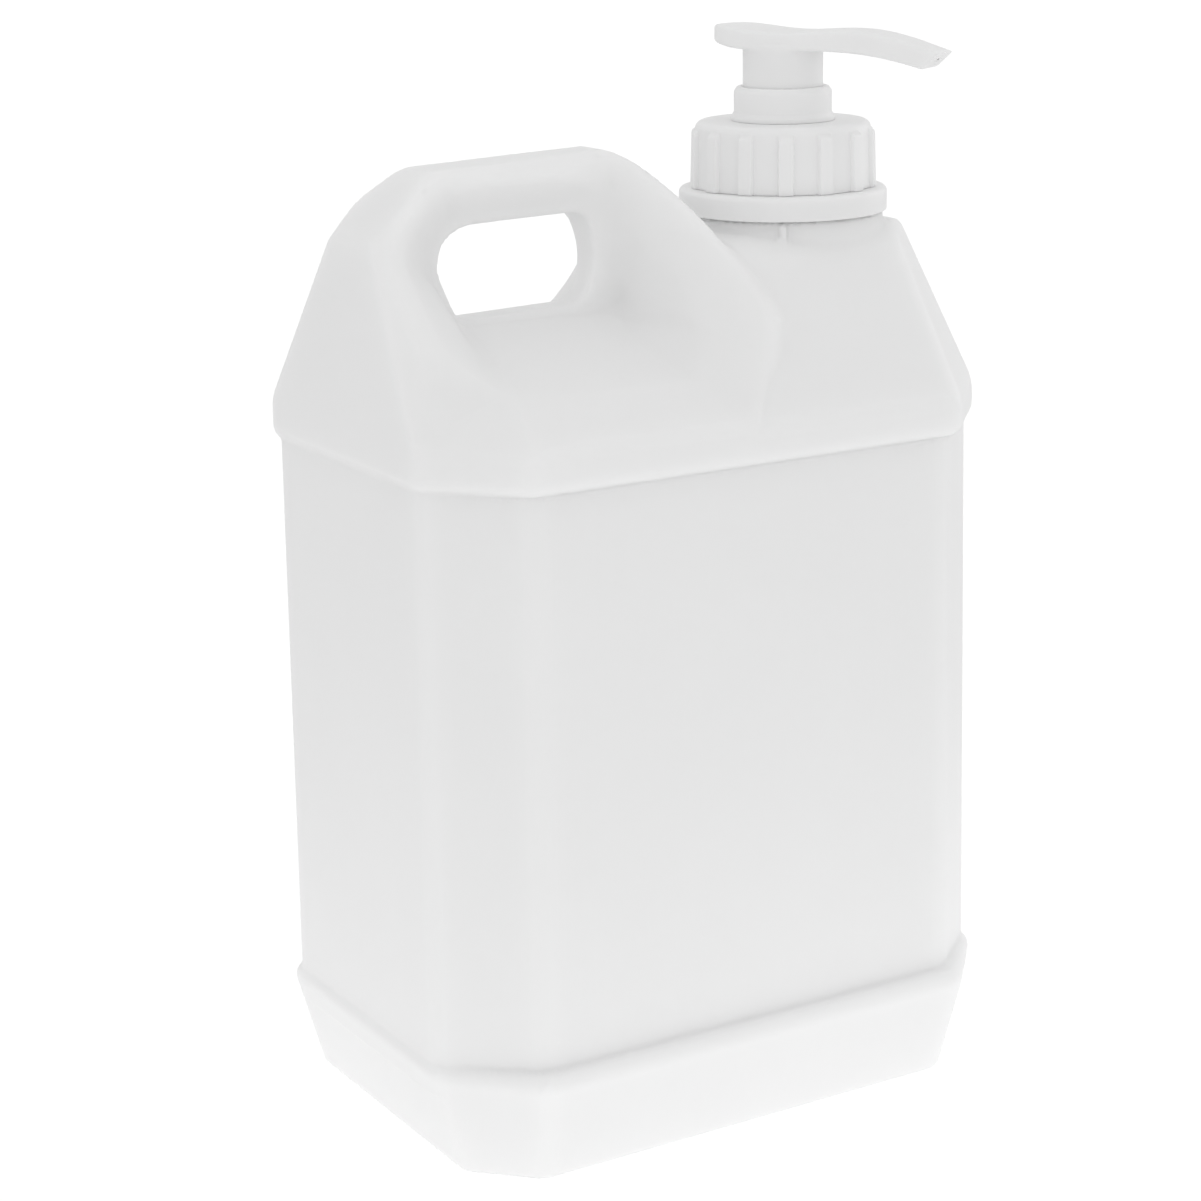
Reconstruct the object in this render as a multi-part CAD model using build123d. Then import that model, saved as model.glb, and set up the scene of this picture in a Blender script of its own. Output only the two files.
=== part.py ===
from build123d import *

import math
import os

# Jerrycan-style pump bottle. Millimetres, +Z up. The origin is the centre of the base on the
# standing plane. X runs along the long side (handle at -X, neck at +X), the front face is at -Y.

# Blow-moulded bottle: octagonal sections as (height, half length, half depth, end cut, side cut)
WALL = 1.2
CORNER_R = 6.0
BASE_STEPS = [
    (0.0, 68.7, 50.0, 13.4, 13.3),
    (1.2, 69.8, 51.1, 13.8, 13.9),
    (4.0, 70.7, 51.9, 14.4, 14.6),
    (20.0, 75.2, 56.0, 17.3, 18.7),
    (22.5, 75.7, 56.3, 17.8, 19.2),
    (25.2, 75.5, 55.2, 18.3, 18.6),
]
PANEL_FOOT = (27.0, 75.2, 52.8, 19.1, 16.7)
PANEL_TOP = (160.5, 74.2, 51.8, 19.0, 16.5)
BELT_STEPS = [
    (161.6, 75.0, 54.3, 18.9, 18.6),
    (164.5, 75.8, 55.5, 18.8, 19.5),
    (170.0, 75.8, 55.5, 18.8, 19.5),
]
SHOULDER_Z = 170.0
CREASE_Z, CREASE_X, CREASE_Y = 211.4, 71.9, 19.3
CREASE_END_CUT, CREASE_SIDE_CUT = 10.0, 9.6
HANDLE_TOP_Z, HANDLE_TOP_X, HANDLE_TOP_Y = 226.2, 54.9, 6.0
HANDLE_TOP_END_CUT, HANDLE_TOP_SIDE_CUT = 3.0, 2.6
ROOF_R, HANDLE_TOP_R = 1.8, 0.8
SLOPE_WALL = 1.3
PLATFORM_Z = 205.5
PLATFORM_STEPS = [
    (201.8, 71.8, 25.0, 10.6, 11.4),
    (204.4, 70.4, 22.4, 9.9, 10.4),
    (205.5, 67.4, 20.2, 9.3, 9.8),
]
FOOT_RING_WIDTH = 9.0
FOOT_RECESS = 2.5
FOOT_RECESS_DRAFT = 2.0
FOOT_RECESS_CUTS = (9.0, 8.5)

# Handle: the fin between the two grip recesses and the finger hole through it, as (x, z) outlines
HANDLE_RIGHT_X, HANDLE_RIGHT_LOW_Z = 17.5, 187.0
HANDLE_BEND_X, HANDLE_BEND_LOW_Z = -9.8, 190.0
HANDLE_BEND_POWER, HANDLE_BEND_POINTS = 1.6, 8
HANDLE_TOE_IN, HANDLE_TOE_Z = 8.0, 172.0
FIN_HALF = 4.0
RECESS_REACH = 60.0
HOLE = [(-44.0, 191.0), (-53.0, 205.0), (-47.8, 212.4), (-16.4, 212.4), (-9.9, 202.0), (-17.0, 191.0)]
RECESS_INNER = [(-46.0, 190.3), (-54.0, 203.0), (-49.5, 213.0), (-14.0, 213.0), (-6.0, 204.0), (-1.6, 190.3)]
RECESS_OUTER = [(-56.5, 174.0), (-112.0, 216.0), (-115.0, 263.0), (98.0, 299.0), (27.0, 210.0), (12.0, 174.0)]
HOLE_R = 3.0

# Neck finish and its thread
NECK_X = 44.5
NECK_R = 17.5
NECK_BORE_R = 14.5
NECK_TOP_Z = 225.0
BASE_RING_R, BASE_RING_TOP_Z = 21.5, 208.2
LUG_ANGLE, LUG_WIDTH, LUG_PROUD, LUG_MID_Z, LUG_LENGTH = -124.6, 1.8, 0.9, 206.4, 3.6
SUPPORT_R, SUPPORT_TOP_Z = 19.0, 212.7
BEAD_R, BEAD_LOW_Z, BEAD_TOP_Z = 19.3, 214.6, 215.8
THREAD_PITCH = 4.233
THREAD_TURNS = 1.25
THREAD_START_Z = 217.6
THREAD_HEIGHT = 1.2
THREAD_ROOT_WIDTH, THREAD_CREST_WIDTH = 2.1, 0.9
THREAD_SINK = 0.3

# Tamper band that stays on the neck
BAND_R, BAND_LOW_Z, BAND_TOP_Z = 25.0, 208.6, 214.3
BAND_WALL, BAND_INNER_R, BAND_ROUND = 1.4, 18.0, 1.2

# Screw cap
CAP_LOW_Z, CAP_TOP_Z = 214.6, 230.0
CAP_LOW_R, CAP_TOP_R = 21.5, 21.0
CAP_TOP_THICKNESS = 1.5
CAP_ROUND = 1.9
CAP_INNER_R, CAP_MOUTH_R, CAP_MOUTH_TOP_Z = 19.1, 19.9, 216.9
CAP_HOLE_R = 11.0
RIB_COUNT, RIB_WIDTH, RIB_PHASE = 14, 3.5, -122.7
RIB_LOW_Z, RIB_TOP_Z, RIB_LOW_R, RIB_TOP_R = 215.4, 226.8, 22.5, 22.1

# Pump housing, gasket and collar
FLANGE_R, FLANGE_LOW_Z, FLANGE_TOP_Z = 17.4, 226.2, 228.2
CUP_R, CUP_BORE_R, CUP_FLOOR_Z, CUP_LOW_Z = 12.0, 10.75, 224.5, 222.8
BARREL_R, BARREL_BORE_R, BARREL_FLOOR_Z, BARREL_LOW_Z = 9.7, 8.5, 190.0, 188.0
SOCKET_R, SOCKET_LOW_Z = 4.9, 176.0
INLET_HOLE_R = 1.9
COLLAR_R, COLLAR_FLARE_R, COLLAR_LOW_Z, COLLAR_TOP_Z = 11.7, 12.5, 230.3, 238.0
COLLAR_SLEEVE_R, COLLAR_BORE_R, COLLAR_WEB = 10.7, 9.87, 1.4
GUIDE_R, GUIDE_BORE_R, GUIDE_TOP_Z = 5.4, 4.2, 232.0

# Dip tube
TUBE_R, TUBE_BORE_R, TUBE_LOW_Z = 3.6, 2.6, 8.0
TUBE_CUT_TILT, TUBE_CUT_SIZE, TUBE_CUT_DEPTH = 30.0, 20.0, 6.0
FIT = 0.05

# Inlet valve, spring and piston
CAGE_TOP_Z, CAGE_ROOM_R, CAGE_ROOM_TOP_Z = 197.0, 2.9, 195.3
CAGE_HOLE_R, CAGE_PORT_R, CAGE_PORT_RADIUS = 1.2, 0.7, 2.6
INLET_BALL_R, OUTLET_BALL_R = 2.5, 2.6
BALL_GAP = 0.02
SPRING_R, WIRE_R, SPRING_COILS = 6.5, 0.45, 6.0
PISTON_LOW_Z, PISTON_TOP_Z, PISTON_WAIST_R, PISTON_LIP = 213.0, 224.2, 7.6, 2.2
STEM_R, STEM_BORE_R, STEM_LOW_Z, STEM_TOP_Z = 3.9, 2.2, 212.7, 246.0
SEAT_Z, SEAT_ROOM_R = 240.8, 3.1
STEM_PORT_Z, STEM_PORT_R = 217.5, 0.8
PLUG_R, PLUG_THICKNESS, PLUG_SPIGOT = 5.2, 1.5, 2.6

# Actuator head, drawn along +X and turned about the neck to its resting direction
HEAD_TURN = -60.0
SKIRT_R, SKIRT_BORE_R, SKIRT_LOW_Z = 9.57, 8.27, 233.5
HUB_R, HUB_LOW_Z = 5.3, 241.0
BLADE_TOP = [(-17.2, 249.8), (-9.0, 251.2), (6.5, 249.9), (17.4, 251.1), (30.0, 249.4), (41.0, 246.2)]
BLADE_UNDER = [(37.4, 243.0), (28.0, 245.2), (20.0, 246.3), (9.0, 246.7), (-6.0, 246.9), (-15.0, 248.0)]
PLAN_SIDE = [(-17.2, 0.0), (-14.0, 6.9), (-6.0, 9.7), (6.0, 8.3), (20.0, 6.2), (41.0, 4.7)]
CHANNEL = [(0.0, 248.2), (9.0, 248.2), (18.0, 248.6), (28.0, 247.3), (42.0, 243.8)]
CHANNEL_R = 1.1
BY_PASS_RADIUS, BY_PASS_R, BY_PASS_ANGLES = 1.7, 0.8, (30, 150, 270)

NECK = Pos(NECK_X, 0, 0)


def octagon(step, corner, inset=0.0):
    """Flat section of the can: a rectangle with cut, softly rounded corners."""
    height, half_x, half_y, cut_x, cut_y = step
    half_x, half_y = half_x - inset, half_y - inset
    one = [(half_x, half_y - cut_y), (half_x - cut_x, half_y)]
    two = [(-x, y) for x, y in reversed(one)]
    ring = one + two + [(-x, -y) for x, y in one] + [(-x, -y) for x, y in two]
    face = fillet(Polygon(*ring, align=None).vertices(), corner)
    return Pos(0, 0, height) * face


def ruled(steps, corner, inset=0.0):
    return loft([octagon(step, corner, inset) for step in steps], ruled=True)


def lower_can(inset):
    """Base, label panel and shoulder belt, up to the foot of the roof."""
    steps = BASE_STEPS + [PANEL_FOOT, PANEL_TOP] + BELT_STEPS
    if inset:
        floor = (FOOT_RECESS + WALL,) + BASE_STEPS[2][1:]
        steps = [floor] + BASE_STEPS[3:5] + [PANEL_FOOT, PANEL_TOP] + BELT_STEPS[1:]
    return ruled(steps, CORNER_R - inset, inset)


def handle_bend(right, high):
    """Quarter of a superellipse from the handle's flat top round to its vertical side."""
    reach, rise = right - HANDLE_BEND_X, high - HANDLE_BEND_LOW_Z
    points = []
    for index in range(HANDLE_BEND_POINTS + 1):
        turn = math.radians(90 * index / HANDLE_BEND_POINTS)
        across, upward = (value ** (2 / HANDLE_BEND_POWER) for value in (math.sin(turn), abs(math.cos(turn))))
        points.append((HANDLE_BEND_X + reach * across, HANDLE_BEND_LOW_Z + rise * upward))
    return Spline(*points, tangents=[(1, 0), (0, -1)])


def handle_block(inset):
    """Hipped block that carries the handle, ending in a vertical side beside the neck."""
    slope_inset = SLOPE_WALL * inset
    crease = (CREASE_Z, CREASE_X, CREASE_Y, CREASE_END_CUT, CREASE_SIDE_CUT)
    top = (HANDLE_TOP_Z, HANDLE_TOP_X, HANDLE_TOP_Y, HANDLE_TOP_END_CUT, HANDLE_TOP_SIDE_CUT)
    lower = ruled([BELT_STEPS[-1], crease], ROOF_R, slope_inset)
    upper = ruled([crease, top], HANDLE_TOP_R, slope_inset)
    right, high, left, low = HANDLE_RIGHT_X - inset, HANDLE_TOP_Z - inset, -90, 160
    bend = handle_bend(right, high)
    outline = Polyline((left, low), (left, high), (HANDLE_BEND_X, high))
    toe = right - HANDLE_TOE_IN
    side = Polyline(
        (right, HANDLE_BEND_LOW_Z), (right, HANDLE_RIGHT_LOW_Z), (toe, HANDLE_TOE_Z), (toe, low), (left, low)
    )
    profile = Plane.XZ * make_face([outline, bend, side])
    return (lower + upper) & extrude(profile, 80, both=True)


def neck_block(inset):
    """Lower hipped block under the neck, set back from the handle block."""
    block = ruled([BELT_STEPS[-1]] + PLATFORM_STEPS, ROOF_R, SLOPE_WALL * inset)
    above = Box(200, 120, 40, align=(Align.CENTER, Align.CENTER, Align.MIN))
    return block - Pos(0, 0, PLATFORM_Z - inset) * above


def grow(points, amount):
    """Moves an outline outwards, away from its own centre line."""
    mid_x = sum(x for x, z in points) / len(points)
    mid_z = sum(z for x, z in points) / len(points)
    return [(x + math.copysign(amount, x - mid_x), z + math.copysign(amount, z - mid_z)) for x, z in points]


def grip_recesses(outset):
    """Funnel-shaped hand room in front of and behind the fin."""
    near = Plane.XZ.offset(FIN_HALF - outset) * Polygon(*grow(RECESS_INNER, outset), align=None)
    far = Plane.XZ.offset(RECESS_REACH) * Polygon(*grow(RECESS_OUTER, SLOPE_WALL * outset), align=None)
    front = loft([near, far], ruled=True)
    return front + front.mirror(Plane.XZ)


def finger_hole(outset):
    outline = fillet(Polygon(*grow(HOLE, outset), align=None).vertices(), HOLE_R)
    return extrude(Plane.XZ * outline, 2 * FIN_HALF, both=True)


def can(inset):
    """Outer form of the can, or with an inset the hollow inside it."""
    form = lower_can(inset) + neck_block(inset) + handle_block(inset)
    return form - grip_recesses(inset) - finger_hole(inset)


def turned(*outline):
    """Solid of revolution about the neck axis from (radius, height) points."""
    face = Plane.XZ * Polygon(*outline, align=None)
    return NECK * revolve(face, Axis.Z)


def tube(outer, inner, low, high):
    return turned((inner, low), (outer, low), (outer, high), (inner, high))


def turn_about_neck(shape, degrees):
    return NECK * Rot(0, 0, degrees) * NECK.inverse() * shape


def rod(radius, low, high):
    return NECK * Pos(0, 0, low) * Cylinder(radius, high - low, align=(Align.CENTER, Align.CENTER, Align.MIN))


def thread(root_radius, outward, start):
    """Trapezoid thread swept along a helix; its root sinks a little into the wall."""
    sink = -THREAD_SINK * outward
    crest = THREAD_HEIGHT * outward
    half_root, half_crest = THREAD_ROOT_WIDTH / 2, THREAD_CREST_WIDTH / 2
    path = Helix(THREAD_PITCH, THREAD_PITCH * THREAD_TURNS, root_radius, center=(0, 0, start))
    section = Plane(origin=(root_radius, 0, start), x_dir=(1, 0, 0), z_dir=(0, -1, 0))
    outline = [(sink, -half_root), (crest, -half_crest), (crest, half_crest), (sink, half_root)]
    return NECK * sweep(section * Polygon(*outline, align=None), path, is_frenet=True)


def bottle():
    """Hollow can with its handle, foot ring, neck and outside thread."""
    cavity = can(WALL)
    neck = turned(
        (NECK_BORE_R, PLATFORM_Z - 3), (BASE_RING_R, PLATFORM_Z - 3), (BASE_RING_R, BASE_RING_TOP_Z),
        (SUPPORT_R, BASE_RING_TOP_Z), (SUPPORT_R, SUPPORT_TOP_Z), (NECK_R, SUPPORT_TOP_Z),
        (NECK_R, BEAD_LOW_Z), (BEAD_R, BEAD_LOW_Z), (NECK_R, BEAD_TOP_Z), (NECK_R, NECK_TOP_Z),
        (NECK_BORE_R, NECK_TOP_Z),
    )
    lug = Rot(0, 0, LUG_ANGLE) * Pos(BASE_RING_R, 0, LUG_MID_Z) * Box(2 * LUG_PROUD, LUG_WIDTH, LUG_LENGTH)
    foot_x, foot_y = BASE_STEPS[0][1] - FOOT_RING_WIDTH, BASE_STEPS[0][2] - FOOT_RING_WIDTH
    roof_x, roof_y = foot_x - FOOT_RECESS_DRAFT, foot_y - FOOT_RECESS_DRAFT
    low_cut, high_cut = FOOT_RECESS_CUTS
    push_up = ruled(
        [(0, foot_x, foot_y, low_cut, low_cut), (FOOT_RECESS, roof_x, roof_y, high_cut, high_cut)], CORNER_R
    )
    shell = can(0) - cavity - push_up - rod(NECK_BORE_R, PLATFORM_Z - 8, PLATFORM_Z)
    return shell + neck + NECK * lug + thread(NECK_R, 1, THREAD_START_Z)


def tamper_band():
    """Band left on the neck, hooked under the bead."""
    return turned(
        (BAND_INNER_R, SUPPORT_TOP_Z), (BAND_R - BAND_WALL, SUPPORT_TOP_Z), (BAND_R - BAND_WALL, BAND_LOW_Z),
        (BAND_R, BAND_LOW_Z), (BAND_R, BAND_TOP_Z - BAND_ROUND),
        (BAND_R - 0.3 * BAND_ROUND, BAND_TOP_Z - 0.3 * BAND_ROUND),
        (BAND_R - BAND_ROUND, BAND_TOP_Z), (BAND_INNER_R, BAND_TOP_Z),
    )


def screw_cap():
    """Ribbed cap that turns about the collar and clamps the pump on the neck."""
    outer = turned((0, CAP_LOW_Z), (CAP_LOW_R, CAP_LOW_Z), (CAP_TOP_R, CAP_TOP_Z), (0, CAP_TOP_Z))
    outer = fillet(outer.faces().sort_by(Axis.Z)[-1].edges(), CAP_ROUND)
    rib_face = Plane.XZ * Polygon(
        (CAP_LOW_R - 1, RIB_LOW_Z), (RIB_LOW_R, RIB_LOW_Z), (RIB_TOP_R, RIB_TOP_Z - 0.9),
        (CAP_TOP_R - 0.3, RIB_TOP_Z), (CAP_LOW_R - 1.6, RIB_TOP_Z), align=None,
    )
    rib = extrude(rib_face, RIB_WIDTH / 2, both=True)
    for index in range(RIB_COUNT):
        outer += NECK * Rot(0, 0, RIB_PHASE + index * 360 / RIB_COUNT) * rib
    ceiling = CAP_TOP_Z - CAP_TOP_THICKNESS
    inside = rod(CAP_INNER_R, CAP_LOW_Z - 1, ceiling) + rod(CAP_MOUTH_R, CAP_LOW_Z - 1, CAP_MOUTH_TOP_Z)
    hole = rod(CAP_HOLE_R, ceiling - 1, CAP_TOP_Z + 1)
    start = THREAD_START_Z + THREAD_PITCH / 4
    inner_thread = thread(CAP_INNER_R, -1, start)
    return outer - inside - hole + turn_about_neck(inner_thread, -90)


def pump_housing():
    """Barrel with a wide cup and clamping flange above and the dip tube socket below."""
    return turned(
        (INLET_HOLE_R, BARREL_LOW_Z), (TUBE_R + FIT, BARREL_LOW_Z), (TUBE_R + FIT, SOCKET_LOW_Z),
        (SOCKET_R, SOCKET_LOW_Z), (SOCKET_R, BARREL_LOW_Z), (BARREL_R - 1, BARREL_LOW_Z),
        (BARREL_R, BARREL_LOW_Z + 1), (BARREL_R, CUP_LOW_Z), (CUP_R, CUP_LOW_Z), (CUP_R, FLANGE_LOW_Z),
        (FLANGE_R, FLANGE_LOW_Z), (FLANGE_R, FLANGE_TOP_Z), (CUP_BORE_R, FLANGE_TOP_Z),
        (CUP_BORE_R, CUP_FLOOR_Z), (BARREL_BORE_R, CUP_FLOOR_Z), (BARREL_BORE_R, BARREL_FLOOR_Z),
        (INLET_HOLE_R, BARREL_FLOOR_Z),
    )


def lock_collar():
    """Collar snapped into the cup: outer sleeve, web and inner guide tube round the stem."""
    web_top = CUP_FLOOR_Z + COLLAR_WEB
    return turned(
        (GUIDE_BORE_R, CUP_FLOOR_Z), (COLLAR_SLEEVE_R, CUP_FLOOR_Z), (COLLAR_SLEEVE_R, COLLAR_LOW_Z),
        (COLLAR_FLARE_R, COLLAR_LOW_Z), (COLLAR_FLARE_R - 0.2, COLLAR_LOW_Z + 0.8),
        (COLLAR_R, COLLAR_LOW_Z + 1.8), (COLLAR_R, COLLAR_TOP_Z - 2.0), (COLLAR_R - 0.5, COLLAR_TOP_Z - 0.6),
        (COLLAR_R - 1.4, COLLAR_TOP_Z), (COLLAR_BORE_R, COLLAR_TOP_Z), (COLLAR_BORE_R, web_top),
        (GUIDE_R, web_top), (GUIDE_R, GUIDE_TOP_Z), (GUIDE_BORE_R, GUIDE_TOP_Z),
    )


def neck_gasket():
    return tube(FLANGE_R, CUP_R + 0.3, NECK_TOP_Z, FLANGE_LOW_Z)


def dip_tube():
    """Straight tube, cut at an angle at its foot."""
    foot_cut = Rot(0, TUBE_CUT_TILT, 0) * Box(TUBE_CUT_SIZE, TUBE_CUT_SIZE, TUBE_CUT_DEPTH)
    foot_cut = NECK * Pos(0, 0, TUBE_LOW_Z) * foot_cut
    return tube(TUBE_R, TUBE_BORE_R, TUBE_LOW_Z, BARREL_LOW_Z) - foot_cut


def ball_cage():
    """Disc on the barrel floor that keeps the inlet ball in and seats the spring."""
    cage = rod(BARREL_BORE_R - FIT, BARREL_FLOOR_Z, CAGE_TOP_Z)
    cage -= rod(CAGE_ROOM_R, BARREL_FLOOR_Z - 1, CAGE_ROOM_TOP_Z)
    cage -= rod(CAGE_HOLE_R, CAGE_ROOM_TOP_Z - 1, CAGE_TOP_Z + 1)
    port = Pos(CAGE_PORT_RADIUS, 0, 0) * rod(CAGE_PORT_R, CAGE_ROOM_TOP_Z - 1, CAGE_TOP_Z + 1)
    for angle in (0, 120, 240):
        cage -= turn_about_neck(port, angle)
    return cage


def ball_on_seat(radius, seat_radius, seat_z):
    """Ball resting on the edge of a round hole."""
    centre_z = seat_z + math.sqrt(radius**2 - seat_radius**2) + BALL_GAP
    return NECK * Pos(0, 0, centre_z) * Sphere(radius)


def return_spring():
    """Round-wire spring between the cage and the piston."""
    length = PISTON_LOW_Z - CAGE_TOP_Z - 2 * WIRE_R - 0.02
    start = CAGE_TOP_Z + WIRE_R + 0.01
    path = Helix(length / SPRING_COILS, length, SPRING_R, center=(0, 0, start))
    section = Plane(origin=(SPRING_R, 0, start), x_dir=(1, 0, 0), z_dir=(0, -1, 0))
    return NECK * sweep(section * Circle(WIRE_R), path, is_frenet=True)


def piston():
    """Seal with a lip at each end, running in the barrel and round the stem."""
    lip_r = BARREL_BORE_R - FIT
    bore = STEM_R + FIT
    return turned(
        (bore, PISTON_LOW_Z), (lip_r, PISTON_LOW_Z), (lip_r, PISTON_LOW_Z + PISTON_LIP),
        (PISTON_WAIST_R, PISTON_LOW_Z + PISTON_LIP + 1), (PISTON_WAIST_R, PISTON_TOP_Z - PISTON_LIP - 1),
        (lip_r, PISTON_TOP_Z - PISTON_LIP), (lip_r, PISTON_TOP_Z), (bore, PISTON_TOP_Z),
    )


def piston_stem():
    """Hollow stem with the outlet seat near its top and a cross port at the piston."""
    stem = turned(
        (STEM_BORE_R, STEM_LOW_Z), (STEM_R, STEM_LOW_Z), (STEM_R, STEM_TOP_Z),
        (SEAT_ROOM_R, STEM_TOP_Z), (SEAT_ROOM_R, SEAT_Z), (STEM_BORE_R, SEAT_Z),
    )
    port = NECK * Pos(0, 0, STEM_PORT_Z) * Rot(90, 0, 0) * Cylinder(STEM_PORT_R, 4 * STEM_R)
    return stem - port


def stem_plug():
    """Plug under the stem that holds the piston on."""
    return rod(PLUG_R, STEM_LOW_Z - PLUG_THICKNESS, STEM_LOW_Z) + rod(
        STEM_BORE_R - FIT, STEM_LOW_Z, STEM_LOW_Z + PLUG_SPIGOT
    )


def head_blade():
    """Wavy blade: thumb pad behind, slender spout in front, cut off at a slant."""
    top = Spline(*BLADE_TOP)
    under = Spline(*BLADE_UNDER)
    tip, heel = Line(BLADE_TOP[-1], BLADE_UNDER[0]), Line(BLADE_UNDER[-1], BLADE_TOP[0])
    side = Plane.XZ * make_face([top, tip, under, heel])
    far_side = Spline(*PLAN_SIDE, tangents=[(0, 1), (1, -0.05)])
    near_side = Spline(*[(x, -y) for x, y in PLAN_SIDE], tangents=[(0, -1), (1, 0.05)])
    end_x, end_y = PLAN_SIDE[-1]
    plan = make_face([far_side, near_side, Line((end_x, end_y), (end_x, -end_y))])
    return extrude(side, 20, both=True) & extrude(Pos(0, 0, 235) * plan, 25)


def actuator_head():
    """Head pressed on the stem: blade, telescoping skirt, hub and the channel to the tip."""
    underside = BLADE_UNDER[3][1] + 1.0
    skirt = Pos(0, 0, SKIRT_LOW_Z) * (
        Cylinder(SKIRT_R, underside - SKIRT_LOW_Z, align=(Align.CENTER, Align.CENTER, Align.MIN))
        - Cylinder(SKIRT_BORE_R, STEM_TOP_Z - SKIRT_LOW_Z, align=(Align.CENTER, Align.CENTER, Align.MIN))
    )
    hub = Pos(0, 0, HUB_LOW_Z) * (
        Cylinder(HUB_R, underside - HUB_LOW_Z, align=(Align.CENTER, Align.CENTER, Align.MIN))
        - Cylinder(STEM_R + FIT, STEM_TOP_Z - HUB_LOW_Z, align=(Align.CENTER, Align.CENTER, Align.MIN))
    )
    head = head_blade() + skirt + hub
    start, *middle = CHANNEL
    path = Plane.XZ * Spline(start, *middle, tangents=[(1, 0), (1, -0.3)])
    section = Plane(origin=(start[0], 0, start[1]), x_dir=(0, 1, 0), z_dir=(1, 0, 0))
    head -= sweep(section * Circle(CHANNEL_R), path)
    head -= Pos(0, 0, STEM_TOP_Z) * Cylinder(CHANNEL_R, 2 * (start[1] - STEM_TOP_Z))
    for angle in BY_PASS_ANGLES:
        head -= Rot(0, 0, angle) * Pos(BY_PASS_RADIUS, 0, STEM_TOP_Z) * Cylinder(BY_PASS_R, 2.0)
    return NECK * Rot(0, 0, HEAD_TURN) * head


NODES = {
    "bottle": bottle,
    "tamper_band": tamper_band,
    "screw_cap": screw_cap,
    "neck_gasket": neck_gasket,
    "lock_collar": lock_collar,
    "pump_housing": pump_housing,
    "ball_cage": ball_cage,
    "inlet_ball": lambda: ball_on_seat(INLET_BALL_R, INLET_HOLE_R, BARREL_FLOOR_Z),
    "dip_tube": dip_tube,
    "return_spring": return_spring,
    "piston": piston,
    "piston_stem": piston_stem,
    "stem_plug": stem_plug,
    "outlet_ball": lambda: ball_on_seat(OUTLET_BALL_R, STEM_BORE_R, SEAT_Z),
    "actuator_head": actuator_head,
}

os.makedirs("parts", exist_ok=True)
for name, make in NODES.items():
    shape = make()
    shape.label = name
    export_step(shape, f"parts/{name}.step")
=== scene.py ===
"""White jerrycan-style pump bottle on a pale studio floor."""

import math

import bpy
import numpy as np
from mathutils import Matrix, Vector


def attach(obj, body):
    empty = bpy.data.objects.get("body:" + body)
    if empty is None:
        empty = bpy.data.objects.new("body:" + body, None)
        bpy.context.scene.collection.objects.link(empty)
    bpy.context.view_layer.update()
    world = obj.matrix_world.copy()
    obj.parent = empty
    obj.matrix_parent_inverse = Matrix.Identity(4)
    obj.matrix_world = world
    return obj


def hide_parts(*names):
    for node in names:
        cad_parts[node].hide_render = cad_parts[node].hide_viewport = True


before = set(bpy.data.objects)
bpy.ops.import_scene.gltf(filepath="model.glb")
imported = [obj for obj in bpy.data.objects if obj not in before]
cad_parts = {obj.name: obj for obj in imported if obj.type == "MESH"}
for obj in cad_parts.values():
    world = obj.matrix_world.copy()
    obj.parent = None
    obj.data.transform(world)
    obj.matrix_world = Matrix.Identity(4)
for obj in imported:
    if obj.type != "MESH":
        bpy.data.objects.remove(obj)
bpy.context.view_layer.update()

MM = 0.001

# ---------------------------------------------------------------------------
# Camera, at the photograph's viewing angle
# ---------------------------------------------------------------------------
CAMERA_PLACE = (-0.34806, -0.56568, 0.29834)
CAMERA_AZIMUTH, CAMERA_ELEVATION, CAMERA_ROLL = -30.979, 15.2276, -0.8804
CAMERA_LENS = 85.261
SENSOR = 36.0
NEAREST, FARTHEST = 0.02, 60


def add_camera():
    """Camera aimed by azimuth, elevation and roll, and made the scene's own."""
    azimuth, elevation = math.radians(CAMERA_AZIMUTH), math.radians(CAMERA_ELEVATION)
    camera_data = bpy.data.cameras.new("camera")
    camera_data.lens = CAMERA_LENS
    camera_data.sensor_width = SENSOR
    camera_data.clip_start, camera_data.clip_end = NEAREST, FARTHEST
    camera = bpy.data.objects.new("camera", camera_data)
    camera.location = CAMERA_PLACE
    camera.rotation_mode = "XYZ"
    back = Vector((math.cos(elevation) * math.sin(azimuth), -math.cos(elevation) * math.cos(azimuth),
                   math.sin(elevation)))
    right = Vector((math.cos(azimuth), math.sin(azimuth), 0))
    up = back.cross(right)
    roll = math.radians(CAMERA_ROLL)
    image_right = right * math.cos(roll) + up * math.sin(roll)
    image_up = up * math.cos(roll) - right * math.sin(roll)
    camera.rotation_euler = Matrix((image_right, image_up, back)).transposed().to_euler()
    bpy.context.scene.collection.objects.link(camera)
    bpy.context.scene.camera = camera


add_camera()

# ---------------------------------------------------------------------------
# Distance fields, in millimetres: negative inside
# ---------------------------------------------------------------------------


def both(a, b, radius):
    """Where both solids are, with the edge between them rounded."""
    return np.minimum(np.maximum(a, b), -radius) + np.hypot(np.maximum(a + radius, 0), np.maximum(b + radius, 0))


def either(a, b, radius):
    """Where either solid is, with a fillet in the corner between them."""
    return np.maximum(np.minimum(a, b), radius) - np.hypot(np.maximum(radius - a, 0), np.maximum(radius - b, 0))


def slanted(rise, value):
    """Turns the unscaled value of a plane with this rise into a distance."""
    return value / math.hypot(1, rise)


def line_side(x, z, start, end):
    """Distance to the right of the line from start to end."""
    dx, dz = end[0] - start[0], end[1] - start[1]
    return ((x - start[0]) * dz - (z - start[1]) * dx) / np.hypot(dx, dz)


def convex(x, z, corners):
    """Convex outline of (x, z, rounding) corners, run anticlockwise; the last and first share a rounding."""
    form = line_side(x, z, corners[0], corners[1])
    for start, end in zip(corners[1:], corners[2:] + corners[:1]):
        form = both(form, line_side(x, z, start, end), start[2])
    return form


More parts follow.
